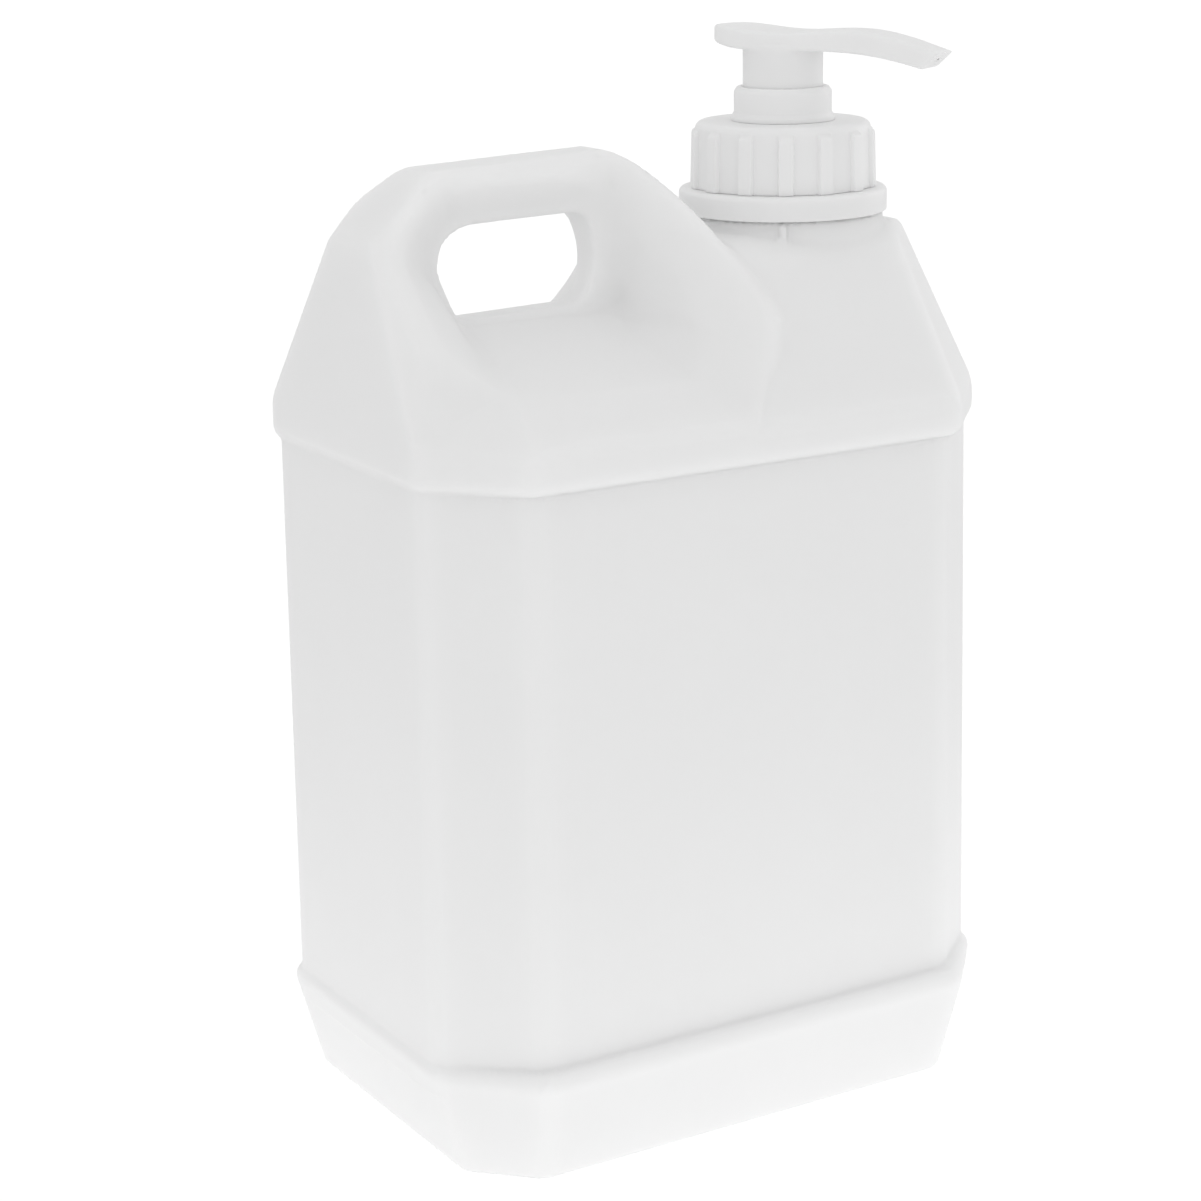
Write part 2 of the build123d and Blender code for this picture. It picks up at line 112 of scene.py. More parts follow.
def octagon(x, y, half_x, half_y, cut_x, cut_y, radius):
    """Rectangle about the middle with its four corners cut off and the eight edges rounded."""
    side_x, side_y = np.abs(x) - half_x, np.abs(y) - half_y
    corner = (side_x * cut_y + side_y * cut_x + cut_x * cut_y) / np.hypot(cut_x, cut_y)
    return np.maximum(both(side_x, corner, radius), both(side_y, corner, radius))


# ---------------------------------------------------------------------------
# Mesh from a field
# ---------------------------------------------------------------------------
PULLS = 6            # Newton steps that draw a vertex onto the surface
OVERHANG = 0.15      # how far it may leave its cell, as a share of the cell
FLATTEST = 0.05      # least squared slope that a step divides by
NORMAL_REACH = 0.05


def gradient(field, points, reach):
    """Central differences of the field."""
    slopes = np.empty_like(points)
    for axis in range(3):
        offset = np.zeros(3)
        offset[axis] = reach
        ahead, behind = points + offset, points - offset
        slopes[:, axis] = (field(*ahead.T) - field(*behind.T)) / (2 * reach)
    return slopes


def surface(field, xs, ys, zs):
    """Quad mesh of the field's zero surface on a grid with these coordinates, drawn onto the surface."""
    values = np.stack([field(xs[:, None], ys[None, :], np.full((1, 1), z)) for z in zs], axis=2)
    inside = values < 0
    count = np.zeros(tuple(n - 1 for n in inside.shape), np.int8)
    for i in (0, 1):
        for j in (0, 1):
            for k in (0, 1):
                count += inside[i:inside.shape[0] - 1 + i, j:inside.shape[1] - 1 + j, k:inside.shape[2] - 1 + k]
    active = (count > 0) & (count < 8)
    index = np.full(active.shape, -1)
    index[active] = np.arange(active.sum())
    cells = np.argwhere(active)
    grid = (xs, ys, zs)
    low = np.stack([grid[a][cells[:, a]] for a in range(3)], axis=1)
    high = np.stack([grid[a][cells[:, a] + 1] for a in range(3)], axis=1)
    points = (low + high) / 2
    size = (high - low).min()
    for _ in range(PULLS):
        slope = gradient(field, points, OVERHANG * size)
        step = field(*points.T)[:, None] * slope / np.maximum((slope**2).sum(1), FLATTEST)[:, None]
        points = np.clip(points - step, low - OVERHANG * (high - low), high + OVERHANG * (high - low))
    quads = []
    for axis in range(3):
        a, b = [k for k in range(3) if k != axis]
        lower = np.take(inside, range(inside.shape[axis] - 1), axis)
        upper = np.take(inside, range(1, inside.shape[axis]), axis)
        edges = np.argwhere(lower != upper)
        edges = edges[(edges[:, a] > 0) & (edges[:, b] > 0)]
        edges = edges[(edges[:, a] < inside.shape[a] - 1) & (edges[:, b] < inside.shape[b] - 1)]
        rising = lower[tuple(edges.T)]
        ring = []
        for back_a, back_b in ((1, 1), (0, 1), (0, 0), (1, 0)):
            cell = edges.copy()
            cell[:, a] -= back_a
            cell[:, b] -= back_b
            ring.append(index[tuple(cell.T)])
        ring = np.stack(ring, axis=1)
        flip = rising if axis == 1 else ~rising
        ring[flip] = ring[flip][:, ::-1]
        quads.append(ring)
    return points, np.concatenate(quads)


def mesh_object(name, points, faces, normals=None):
    """Smooth-shaded object from points in millimetres."""
    mesh = bpy.data.meshes.new(name)
    mesh.from_pydata((np.asarray(points) * MM).tolist(), [], np.asarray(faces).tolist())
    mesh.validate()
    mesh.polygons.foreach_set("use_smooth", [True] * len(mesh.polygons))
    if normals is not None:
        mesh.normals_split_custom_set_from_vertices(normals.tolist())
    piece = bpy.data.objects.new(name, mesh)
    bpy.context.scene.collection.objects.link(piece)
    return piece


def field_piece(name, field, xs, ys, zs):
    """Object from a field, shaded with the field's own normals."""
    points, quads = surface(field, xs, ys, zs)
    slope = gradient(field, points, NORMAL_REACH)
    normals = slope / np.maximum(np.linalg.norm(slope, axis=1), 1e-9)[:, None]
    return mesh_object(name, points, quads, normals)


def spread(*stretches):
    """Grid coordinates: (start, end, step) stretches laid end to end."""
    parts = [np.linspace(a, b, max(2, round((b - a) / step) + 1))[:-1] for a, b, step in stretches]
    return np.concatenate(parts + [[stretches[-1][1]]])


def curve(points):
    """Natural cubic spline through (x, value) points, as a function of x; straight beyond the ends."""
    xs, ys = np.array(points, float).T
    steps, count = np.diff(xs), len(xs)
    system, right = np.eye(count), np.zeros(count)
    for i in range(1, count - 1):
        system[i, i - 1:i + 2] = steps[i - 1], 2 * (steps[i - 1] + steps[i]), steps[i]
        right[i] = 6 * ((ys[i + 1] - ys[i]) / steps[i] - (ys[i] - ys[i - 1]) / steps[i - 1])
    bends = np.linalg.solve(system, right)

    def value(x):
        i = np.clip(np.searchsorted(xs, x) - 1, 0, count - 2)
        step, ahead, behind = steps[i], xs[i + 1] - x, x - xs[i]
        straight = (ys[i] / step - bends[i] * step / 6) * ahead
        straight = straight + (ys[i + 1] / step - bends[i + 1] * step / 6) * behind
        bent = (bends[i] * np.clip(ahead, 0, step)**3 + bends[i + 1] * np.clip(behind, 0, step)**3) / (6 * step)
        return straight + bent
    return value


HARD_EDGE = math.radians(50)
ARC_PARTS = 4        # stretches to each radian of a rounded corner


def outline(corners, longest):
    """Closed (radius, height) outline; each corner is (radius, height, rounding)."""
    points = []
    count = len(corners)
    for i, (r, z, rounding) in enumerate(corners):
        here = np.array((r, z))
        before, after = np.array(corners[i - 1][:2]), np.array(corners[(i + 1) % count][:2])
        inward, outward = before - here, after - here
        inward, outward = inward / np.linalg.norm(inward), outward / np.linalg.norm(outward)
        if not rounding:
            points.append(here)
            continue
        half = math.acos(float(np.clip(inward @ outward, -1, 1))) / 2
        centre = here + (inward + outward) / np.linalg.norm(inward + outward) * rounding / math.sin(half)
        touch = rounding / math.tan(half)
        start, end = here + inward * touch - centre, here + outward * touch - centre
        for share in np.linspace(0, 1, max(3, round((math.pi - 2 * half) * ARC_PARTS))):
            arc = start * (1 - share) + end * share
            points.append(centre + arc / np.linalg.norm(arc) * rounding)
    dense = []
    for a, b in zip(points, points[1:] + points[:1]):
        parts = max(1, math.ceil(np.linalg.norm(b - a) / longest))
        dense += [a + (b - a) * share for share in np.arange(parts) / parts]
    return np.array(dense)


def lathe(name, profile, angles, bump=None):
    """Ring-shaped piece about the neck axis from a closed outline; bump moves its points outwards."""
    radius, turn = np.meshgrid(profile[:, 0], angles, indexing="ij")
    height = np.meshgrid(profile[:, 1], angles, indexing="ij")[0]
    if bump is not None:
        radius = radius + bump(radius, height, turn)
    points = np.stack([NECK_X + radius * np.cos(turn), radius * np.sin(turn), height], axis=2).reshape(-1, 3)
    rows, columns = len(profile), len(angles)
    i, j = np.meshgrid(np.arange(rows), np.arange(columns), indexing="ij")
    down, along = (i + 1) % rows, (j + 1) % columns
    quads = np.stack([i * columns + j, i * columns + along, down * columns + along, down * columns + j], axis=2)
    piece = mesh_object(name, points, quads.reshape(-1, 4))
    piece.data.set_sharp_from_angle(angle=HARD_EDGE)
    return piece


def even_angles(count):
    """Whole turn in equal steps."""
    return np.arange(count) * 2 * math.pi / count


def smooth(value):
    """Eases from 0 to 1."""
    value = np.clip(value, 0, 1)
    return value * value * (3 - 2 * value)


# ---------------------------------------------------------------------------
# The can
# ---------------------------------------------------------------------------
NECK_X = 44.5
LEAN = 0.6                       # how far the shoulder sits towards -X
CORNER = 1.9                     # rounding of the octagon's upright edges

BASE_X, BASE_Y, BASE_TOP = 69.6, 50.6, 27.6
BASE_FLARE = 0.275
BASE_CUT, BASE_CUT_GROWTH_X, BASE_CUT_GROWTH_Y = 13.6, 0.187, 0.258
BASE_SHOULDER_ROUNDING, BASE_RIM_ROUNDING, BASE_GROOVE = 4.2, 1.3, 0.9
FOOT_X, FOOT_Y, FOOT_CUT_X, FOOT_CUT_Y, FOOT_DEPTH = 59.7, 41.0, 9.0, 8.7, 2.6
FOOT_FILLET, FOOT_ROUNDING = 1.0, 1.2

PANEL_LOW, PANEL_HIGH = 27.0, 160.5
PANEL_X, PANEL_Y, PANEL_CUT_X, PANEL_CUT_Y = 75.3, 52.8, 19.1, 16.7
PANEL_TAPER_X, PANEL_TAPER_Y, PANEL_ROUNDING = 0.9, 1.0, 2.2
PANEL_MIDDLE, PANEL_HALF = 93, 73

LEDGE_Z, LEDGE_ROUNDING, LEDGE_FILLET = 160.5, 3.4, 0.8
BELT_X, BELT_Y, BELT_CUT_X, BELT_CUT_Y = 75.8, 55.5, 18.8, 19.5
SLOPE_Z, END_SLOPE = 169.0, 0.105
HIP_Y, NECK_HIP_INSET = 36.5, 0.5
HANDLE_HIP_FACING = (0.6239, 0.6289, 0.4637)
NECK_HIP_FACING = (0.6316, 0.6089, 0.4807)
HIP_ROUNDING, SHOULDER_ROUNDING = 1.0, 1.6


def base_field(x, y, z):
    """Base that flares from the foot rim up to the groove under the label panel."""
    cut_x, cut_y = BASE_CUT + BASE_CUT_GROWTH_X * z, BASE_CUT + BASE_CUT_GROWTH_Y * z
    sides = octagon(x, y, BASE_X + BASE_FLARE * z, BASE_Y + BASE_FLARE * z, cut_x, cut_y, CORNER)
    form = both(slanted(BASE_FLARE, sides), z - BASE_TOP, BASE_SHOULDER_ROUNDING)
    form = both(form, -z, BASE_RIM_ROUNDING)
    recess = octagon(x, y, FOOT_X, FOOT_Y, FOOT_CUT_X, FOOT_CUT_Y, CORNER)
    return both(form, -both(recess, z - FOOT_DEPTH, FOOT_FILLET), FOOT_ROUNDING)


def panel_field(x, y, z):
    """Label panel, which narrows slightly and leans on its way up."""
    share = np.clip((z - PANEL_LOW) / (PANEL_HIGH - PANEL_LOW), -0.2, 1.3)
    half_x, half_y = PANEL_X - PANEL_TAPER_X * share, PANEL_Y - PANEL_TAPER_Y * share
    sides = octagon(x + LEAN * share, y, half_x, half_y, PANEL_CUT_X, PANEL_CUT_Y, PANEL_ROUNDING)
    return np.maximum(sides, np.abs(z - PANEL_MIDDLE) - PANEL_HALF)


def hipped_field(x, y, z):
    """Belt, end slopes and hips that the handle block and the neck block share."""
    x = x + LEAN
    belt = octagon(x, y, BELT_X, BELT_Y, BELT_CUT_X, BELT_CUT_Y, CORNER)
    belt = both(belt, LEDGE_Z - z, LEDGE_ROUNDING)
    end = slanted(END_SLOPE, np.abs(x) - BELT_X + END_SLOPE * (z - SLOPE_Z))
    inset_x, inset_y, up = np.abs(x) - BELT_X, np.abs(y) - HIP_Y, z - SLOPE_Z

    def hip(facing, inset):
        return facing[0] * inset_x + facing[1] * (inset_y + inset) + facing[2] * up
    hips = np.where(x < 0, hip(HANDLE_HIP_FACING, 0), hip(NECK_HIP_FACING, NECK_HIP_INSET))
    return both(both(belt, end, HIP_ROUNDING), hips, HIP_ROUNDING)


# Each corner of the recess is an (x, z) place at the fin and one at REACH from the middle.
FIN, REACH = 4.0, 60.0
RECESS_LOW_LEFT = ((-47.6, 190.3), (-56.5, 174.0))
RECESS_LEFT = ((-54.0, 203.0), (-125.0, 250.0))
RECESS_HIGH_LEFT = ((-49.5, 213.0), (-115.0, 270.0))
RECESS_LOW_RIGHT = ((-7.0, 190.3), (18.5, 174.0))
RECESS_RIGHT = ((-6.0, 204.0), (29.0, 210.0))
RECESS_HIGH_RIGHT = ((-14.0, 213.0), (98.0, 299.0))
WALL_STEEPNESS, WALL_EASING, WALL_LEAST = 1.65, 2.6, 0.02
CEILING_Z, CEILING_RISE = 212.4, 1.63
FIN_FILLET, FIN_FILLET_LOW_RIGHT, FIN_FILLET_HIGH_RIGHT = 2.0, 1.6, 2.4


def recess_field(x, y, z):
    """Hand room beside the fin: every wall runs straight outwards from the fin's face."""
    depth = np.abs(y) - FIN
    share = depth / (REACH - FIN)
    low_left, left, high_left, low_right, right, high_right = (
        tuple(near + share * (far - near) for near, far in zip(*corner))
        for corner in (RECESS_LOW_LEFT, RECESS_LEFT, RECESS_HIGH_LEFT,
                       RECESS_LOW_RIGHT, RECESS_RIGHT, RECESS_HIGH_RIGHT))
    floor = line_side(x, z, low_left, low_right)
    steepness = np.maximum(WALL_STEEPNESS - WALL_EASING * share, WALL_LEAST)
    left_wall = (low_left[1] + steepness * (low_left[0] - x) - z) / np.hypot(1, steepness)
    room = both(floor, left_wall, 0.1 + 1.8 * steepness)
    room = both(room, line_side(x, z, high_left, left), 5.0)
    room = both(room, line_side(x, z, low_right, right), 5.5)
    room = both(room, line_side(x, z, right, high_right), 6.0)
    room = both(room, slanted(CEILING_RISE, z - CEILING_Z - CEILING_RISE * depth), 3.0)
    towards_right, above_floor = smooth((x + 24) / 16), smooth((z - 191) / 8)
    fillet = FIN_FILLET + towards_right * (FIN_FILLET_LOW_RIGHT + FIN_FILLET_HIGH_RIGHT * above_floor)
    return both(room, -depth, fillet)


HANDLE_TOP, HANDLE_TOP_RISE = 227.0, 0.04
HANDLE_FRONT, HANDLE_FRONT_Z, HANDLE_FRONT_SLOPE = 55.8, 170.0, 0.875
END_TOP_X, END_TOP_Z, END_TOP_SLOPE = -71.3, 211.4, 0.89
BEND_X, BEND_Z, BEND_POWER = -9.8, 189.8, 1.6
HANDLE_RIGHT = 17.5
TOE_Z, TOE_SLOPE, TOE_TOP = 190.0, 0.8, 196.0
HANDLE_ROUNDING, CREST_ROUNDING, BEND_ROUNDING = 2.5, 1.4, 2.4


def handle_field(x, y, z):
    """The handle block, bounded above only: end top, gently rising top and the bend down to its right side."""
    front = slanted(HANDLE_FRONT_SLOPE, np.abs(y) - HANDLE_FRONT + HANDLE_FRONT_SLOPE * (z - HANDLE_FRONT_Z))
    end_top = slanted(END_TOP_SLOPE, z - END_TOP_Z - END_TOP_SLOPE * (x - END_TOP_X))
    across = np.maximum(x - BEND_X, 0) / (HANDLE_RIGHT - BEND_X)
    top = HANDLE_TOP + HANDLE_TOP_RISE * np.minimum(x - BEND_X, 0)
    upward = np.maximum(z - BEND_Z, 0) / (top - BEND_Z)
    bend = ((across**BEND_POWER + upward**BEND_POWER) ** (1 / BEND_POWER) - 1) * (HANDLE_RIGHT - BEND_X)
    toe = slanted(TOE_SLOPE, x - HANDLE_RIGHT + TOE_SLOPE * np.maximum(TOE_Z - z, -40))
    bend = np.maximum(bend, np.where(z < TOE_TOP, toe, -30.0))
    return both(both(front, end_top, HANDLE_ROUNDING), bend, CREST_ROUNDING + BEND_ROUNDING * smooth(across))


PLATFORM, PLATFORM_ROUNDING = 205.5, 5.0
NECK_FRONT, NECK_FRONT_Z, NECK_FRONT_SLOPE = 55.5, 169.5, 0.949
RING, RING_TOP, RING_FILLET = 24.0, 208.5, 1.6
LUG_ANGLE, LUG_HALF, LUG_REACH, LUG_TOP = math.radians(-124.6), 0.8, 25.2, 208.0


def neck_block_field(x, y, z):
    """The lower block under the neck, bounded above only, with the ring under the band and its lug."""
    front = slanted(NECK_FRONT_SLOPE, np.abs(y) - NECK_FRONT + NECK_FRONT_SLOPE * (z - NECK_FRONT_Z))
    form = both(front, z - PLATFORM, PLATFORM_ROUNDING)
    ring = both(np.hypot(x - NECK_X, y) - RING, z - RING_TOP, 0.3)
    along = (x - NECK_X) * math.cos(LUG_ANGLE) + y * math.sin(LUG_ANGLE)
    beside = -(x - NECK_X) * math.sin(LUG_ANGLE) + y * math.cos(LUG_ANGLE)
    lug = both(both(np.abs(beside) - LUG_HALF, along - LUG_REACH, 0.3), z - LUG_TOP, 0.3)
    ring = either(ring, both(lug, -along, 0.3), 0.4)
    return either(form, np.maximum(ring, TOE_Z - z), RING_FILLET)


HOLE = [(-53.0, 205.0, 4.0), (-47.0, 191.0, 2.4), (-15.3, 191.9, 2.4), (-8.7, 202.2, 8.0), (-14.6, 213.2, 2.4),
        (-47.8, 212.3, 4.0)]
HOLE_ROUNDING = 1.4
RIM_LEFT, RIM_TOP, RIM_RIGHT, RIM_LOW = 3.0, 1.4, 9.0, 6.0
VALLEY_FILLET, VALLEY_LEAST = 3.45, 0.05


def can_field(x, y, z):
    """The whole can, solid."""
    valley = VALLEY_LEAST + VALLEY_FILLET * smooth((z - 172) / 12)
    roof = either(handle_field(x, y, z), neck_block_field(x, y, z), valley)
    roof = both(hipped_field(x, y, z), roof, SHOULDER_ROUNDING)
    rim = RIM_TOP + RIM_LEFT * smooth((x + 40) / -20)
    rim = rim + np.maximum(RIM_RIGHT * smooth((x + 24) / 26), RIM_LOW * smooth((190 - z) / 12))
    roof = both(roof, -recess_field(x, y, z), rim)
    roof = both(roof, -convex(x, z, HOLE), HOLE_ROUNDING)
    lower = either(base_field(x, y, z), panel_field(x, y, z), BASE_GROOVE)
    return either(lower, roof, LEDGE_FILLET)


NECK_BORE, NECK_BORE_LOW = 14.5, 172.0
WELL, WELL_LOW = 5.6, 5.5


def outside_field(x, y, z):
    """The can with room down its neck for the pump and the dip tube."""
    radius = np.hypot(x - NECK_X, y)
    room = np.minimum(np.maximum(radius - NECK_BORE, NECK_BORE_LOW - z), np.maximum(radius - WELL, WELL_LOW - z))
    return both(can_field(x, y, z), -room, 0.5)


CAN_STEP, CAN_QUICK_STEP, UPRIGHT_STEP, MIDDLE_STEP = 1.1, 1.5, 4.0, 0.4
CAN_GRID_X, CAN_GRID_Y, CAN_MIDDLE = 77, 58.4, 1.2


def make_can():
    step = CAN_STEP
    return field_piece("can", outside_field, spread((-CAN_GRID_X, CAN_GRID_X, step)),
                       spread((-CAN_GRID_Y, -CAN_MIDDLE, step), (-CAN_MIDDLE, CAN_MIDDLE, MIDDLE_STEP),
                              (CAN_MIDDLE, CAN_GRID_Y, step)),
                       spread((-1.5, 32, step), (32, 155, UPRIGHT_STEP), (155, 227, step)))


# ---------------------------------------------------------------------------
# Neck, band, cap, collar
# ---------------------------------------------------------------------------
TURN = 2 * math.pi
PITCH, THREAD_START, THREAD_TURNS, THREAD_RUNOUT = 4.233, 217.6, 1.25, 0.06
THREAD_HEIGHT, THREAD_ROOT, THREAD_CREST = 1.2, 2.1, 0.9
NECK_LOW, NECK_TOP, NECK_ROOT, NECK_STEP, NECK_SPIGOT = 204.2, 225.0, 17.5, 19.0, 19.6
BEAD, BEAD_LOW = 19.3, 214.6
BAND_LOW, BAND_SHELF, BAND_TOP = 208.6, 212.7, 214.3
BAND_BORE, BAND_SKIRT, BAND_OUTER = 18.0, 23.6, 25.0
CAP_LOW, CAP_TOP, CAP_OUTER, CAP_SHOULDER = 214.36, 230.0, 21.5, 21.0
CAP_BORE, CAP_MOUTH, CAP_ROOF, CAP_HOLE, CAP_THREAD_LOW = 19.1, 19.9, 228.5, 11.0, 216.9
RIB_COUNT, RIB_WIDTH, RIB_PHASE = 14, 3.5, math.radians(-122.7)
RIB_LOW, RIB_TOP, RIB_HEIGHT, RIB_TOP_HEIGHT = 213.9, 227.9, 1.0, 1.05
COLLAR_LOW, COLLAR_SEAT, COLLAR_TOP = 224.5, 230.03, 238.0
COLLAR_SPIGOT, COLLAR_FLANGE, COLLAR_OUTER, COLLAR_RIM = 10.7, 12.5, 11.7, 10.9
COLLAR_BORE, COLLAR_FLOOR = 9.65, 225.9
GUIDE_BORE, GUIDE_OUTER, GUIDE_TOP = 4.2, 5.4, 232.0


def thread_height(height, turn, start, start_angle):
    """Height of a thread above its root, fading in and out at its ends."""
    tallest = np.zeros_like(height)
    for lap in range(math.ceil(THREAD_TURNS) + 1):
        along = ((turn - start_angle) % TURN) / TURN + lap
        away = np.abs(height - (start + PITCH * along))
        crest = smooth((THREAD_ROOT / 2 - away) / ((THREAD_ROOT - THREAD_CREST) / 2))
        ends = smooth(along / THREAD_RUNOUT) * smooth((THREAD_TURNS - along) / THREAD_RUNOUT)
        tallest = np.maximum(tallest, crest * ends)
    return THREAD_HEIGHT * tallest


def make_neck():
    """Neck finish: spigot in the can, step and bead for the band, and the outside thread."""
    profile = outline([(NECK_BORE, NECK_LOW, 0), (NECK_SPIGOT, NECK_LOW, 0), (NECK_SPIGOT, 207.6, 0),
                       (NECK_STEP, 207.6, 0), (NECK_STEP, BAND_SHELF, 0.3), (NECK_ROOT, BAND_SHELF, 0.2),
                       (NECK_ROOT, BEAD_LOW, 0.2), (BEAD, BEAD_LOW + 0.1, 0.15), (NECK_ROOT, BEAD_LOW + 1.2, 0.3),
                       (NECK_ROOT, NECK_TOP, 0.4), (NECK_BORE, NECK_TOP, 0.4)], 0.45)

    def bump(radius, height, turn):
        return np.where(radius > NECK_ROOT - 0.5, thread_height(height, turn, THREAD_START, 0), 0)
    return lathe("neck_finish", profile, even_angles(168), bump)


def make_band():
    profile = outline([(BAND_BORE, BAND_SHELF, 0.1), (BAND_SKIRT, BAND_SHELF, 0.3), (BAND_SKIRT, BAND_LOW, 0.25),
                       (BAND_OUTER, BAND_LOW, 0.35), (BAND_OUTER, BAND_TOP, 1.2), (BAND_BORE, BAND_TOP, 0.2)], 0.8)
    return lathe("band", profile, even_angles(144))


def rib_window(turn):
    """One across the middle of each rib, falling to zero just beyond its edges."""
    period = TURN / RIB_COUNT
    away = np.abs((turn - RIB_PHASE + period / 2) % period - period / 2) * CAP_OUTER
    return smooth((RIB_WIDTH / 2 - away) / 0.5 + 0.5)


def rib_angles():
    """Columns of the cap's mesh, packed closer where a rib's edge rises."""
    period, half = TURN / RIB_COUNT, RIB_WIDTH / 2 / CAP_OUTER
    edge = np.linspace(-0.45, 0.45, 5) / CAP_OUTER
    on_rib, between_ribs = np.linspace(-half, half, 6)[1:-1] * 0.7, np.linspace(half, period - half, 6)[1:-1]
    one = np.sort(np.mod(np.concatenate([on_rib, half + edge, period - half + edge, between_ribs]), period))
    return np.concatenate([one + k * period for k in range(RIB_COUNT)]) + RIB_PHASE


def make_cap():
    profile = outline([(CAP_MOUTH, CAP_LOW, 0.1), (CAP_OUTER, CAP_LOW, 0.12), (CAP_SHOULDER, CAP_TOP, 1.9),
                       (CAP_HOLE, CAP_TOP, 0.3), (CAP_HOLE, CAP_ROOF, 0.2), (CAP_BORE, CAP_ROOF, 0.5),
                       (CAP_BORE, CAP_THREAD_LOW, 0.1), (CAP_MOUTH, CAP_THREAD_LOW, 0)], 0.55)

    def bump(radius, height, turn):
        rib = np.interp(height, (215.4, 226.8), (RIB_HEIGHT, RIB_TOP_HEIGHT))
        ends = smooth((height - RIB_LOW) / 0.35 + 0.5) * smooth((RIB_TOP - 0.1 - height) / 0.9 + 0.5)
        outer = np.where(radius > 20.2, rib * ends * rib_window(turn), 0)
        inner = thread_height(height, turn, THREAD_START + PITCH / 4, -math.pi / 2)
        return outer - np.where((radius < CAP_BORE + 0.1) & (height < CAP_ROOF - 0.5), inner, 0)
    return lathe("cap", profile, rib_angles(), bump)


def make_collar():
    """Collar on the cap, with the guide for the stem inside it."""
    profile = outline([(GUIDE_BORE, COLLAR_LOW, 0), (COLLAR_SPIGOT, COLLAR_LOW, 0.2),
                       (COLLAR_SPIGOT, COLLAR_SEAT, 0), (COLLAR_FLANGE, COLLAR_SEAT, 0.1),
                       (COLLAR_FLANGE - 0.15, 231.0, 0.4), (COLLAR_OUTER, 232.1, 0.8), (COLLAR_OUTER, 236.9, 1.1),
                       (COLLAR_RIM, COLLAR_TOP, 0.6), (COLLAR_BORE, COLLAR_TOP, 0.12),
                       (COLLAR_BORE, COLLAR_FLOOR, 0.3), (GUIDE_OUTER, COLLAR_FLOOR, 0.3),
                       (GUIDE_OUTER, GUIDE_TOP, 0.3), (GUIDE_BORE, GUIDE_TOP, 0.3)], 0.8)
    return lathe("collar", profile, even_angles(96))


# ---------------------------------------------------------------------------
# Pump head
# ---------------------------------------------------------------------------
# The head lies along its own x axis, from the pad to the spout, and is turned into place at the end.
HEAD_TURN = math.radians(-60)
HEAD_STEP, HEAD_QUICK_STEP = 0.4, 0.6
BLADE_TOP = curve([(-17.2, 252.2), (-14.0, 252.3), (-7.0, 251.7), (4.0, 251.0), (14.0, 251.5), (22.0, 251.4),
                   (30.0, 250.1), (41.0, 246.9)])
BLADE_UNDER = curve([(-15.0, 248.0), (-6.0, 246.9), (9.0, 246.7), (20.0, 246.3), (28.0, 245.2), (37.4, 243.0)])
BLADE_HALF = curve([(-6.0, 9.7), (0.0, 9.3), (6.0, 8.3), (20.0, 6.2), (41.0, 4.7)])
PAD_X, PAD_LENGTH, PAD_HALF = -6.0, 11.2, 9.7
TIP_TOP, TIP_LOW = (41.0, 246.2), (37.4, 243.0)
SKIRT, SKIRT_BORE, SKIRT_LOW = 9.57, 8.27, 233.5
STEM_TOP, HUB, HUB_LOW, STEM = 246.0, 5.3, 241.0, 3.95
SKIRT_TOP, CROWN = 248.0, 0.002
CHANNEL = curve([(0.0, 248.2), (9.0, 248.2), (18.0, 248.6), (28.0, 247.3), (42.0, 243.8)])
CHANNEL_RADIUS = 1.1


def blade_field(x, y, z):
    """Thumb pad and spout."""
    pad = PAD_HALF * (np.hypot((x - PAD_X) / PAD_LENGTH, y / PAD_HALF) - 1)
    side = np.where(x < PAD_X, pad, np.abs(y) - BLADE_HALF(np.maximum(x, PAD_X)))
    top = (z - BLADE_TOP(x) + CROWN * y**2) / 1.02
    under = BLADE_UNDER(x) - z
    form = both(side, under, 0.9)
    form = both(form, top, 0.7)
    return both(form, line_side(x, z, TIP_LOW, TIP_TOP), 0.35)


def head_field(x, y, z):
    """Blade and skirt, hollow below round the hub, with the channel to the spout."""
    radius = np.hypot(x, y)
    skirt = both(both(radius - SKIRT, SKIRT_LOW - z, 0.3), z - SKIRT_TOP, 0.3)
    form = either(blade_field(x, y, z), skirt, 0.8)
    hub = both(radius - HUB, HUB_LOW - z, 0.25)
    room = both(both(radius - SKIRT_BORE, z - STEM_TOP, 0.3), -hub, 0.3)
    stem_room = both(radius - STEM, z - STEM_TOP, 0.1)
    channel = np.hypot(y, z - CHANNEL(x)) - CHANNEL_RADIUS
    channel = np.minimum(np.maximum(channel, -x), np.maximum(radius - CHANNEL_RADIUS, z - CHANNEL(0.0)))
    channel = np.maximum(channel, STEM_TOP - 1 - z)
    return both(both(form, -np.minimum(room, stem_room), 0.25), -channel, 0.2)


def make_head():
    step = HEAD_STEP
    points, quads = surface(head_field, spread((-17.9, 42, step)), spread((-10.3, 10.3, step)),
                            spread((233, 253.6, step)))
    cos, sin = math.cos(HEAD_TURN), math.sin(HEAD_TURN)
    turned = np.stack([NECK_X + points[:, 0] * cos - points[:, 1] * sin,
                       points[:, 0] * sin + points[:, 1] * cos, points[:, 2]], axis=1)
    return mesh_object("head", turned, quads)


# ---------------------------------------------------------------------------
# Materials
# ---------------------------------------------------------------------------


def new_material(name, roughness):
    """Material with its shader, its nodes and links, and the object's own coordinates."""
    material = bpy.data.materials.new(name)
    material.use_nodes = True
    nodes, links = material.node_tree.nodes, material.node_tree.links
    shader = nodes["Principled BSDF"]
    shader.inputs["Roughness"].default_value = roughness
    place = nodes.new("ShaderNodeTexCoord").outputs["Object"]
    return material, nodes, links, shader, place


